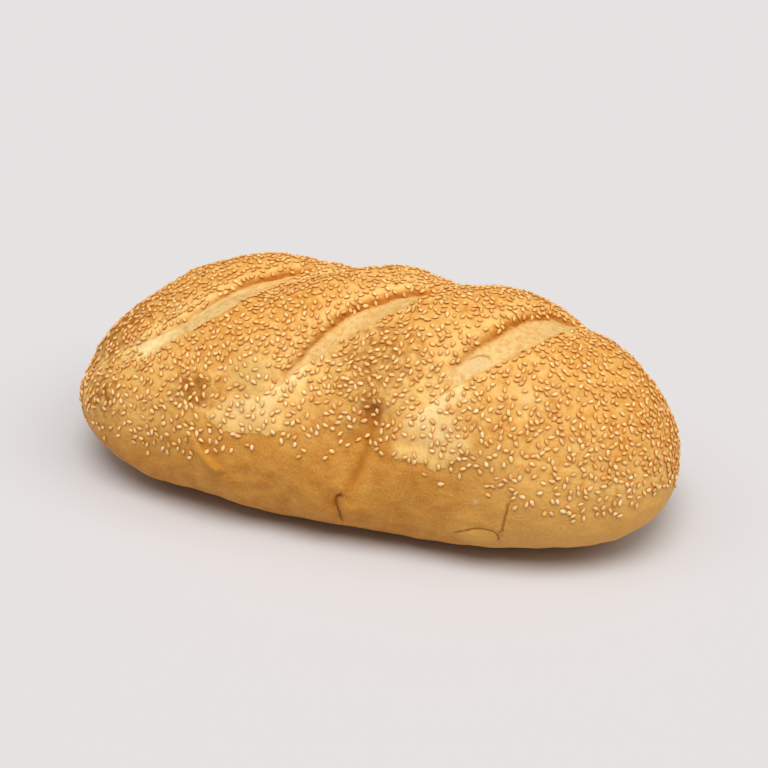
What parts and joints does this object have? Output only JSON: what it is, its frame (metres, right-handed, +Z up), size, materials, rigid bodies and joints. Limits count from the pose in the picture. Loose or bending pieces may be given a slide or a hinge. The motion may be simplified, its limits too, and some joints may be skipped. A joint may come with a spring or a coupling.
{
  "type": "vienna loaf",
  "caption": "Whole baked white loaf, long and rounded, with diagonal slashes across the top, a crust covered in sesame seeds and a flat underside it rests on.",
  "frame": {"origin": "middle of the flat underside, under the middle of the loaf's outline seen from above", "axes": "+X along the loaf, -Y towards the front that the picture shows, +Z up"},
  "size_m": [0.3002, 0.1484, 0.1096],
  "materials": {
    "crust": "matte baked crust, golden brown on the crown, paler in the slashes and tan on the sides",
    "sesame": "toasted sesame seeds, ivory to golden brown, slightly satin"
  },
  "bodies": {
    "root": {"loaf": "crust"}
  },
  "joints": []
}
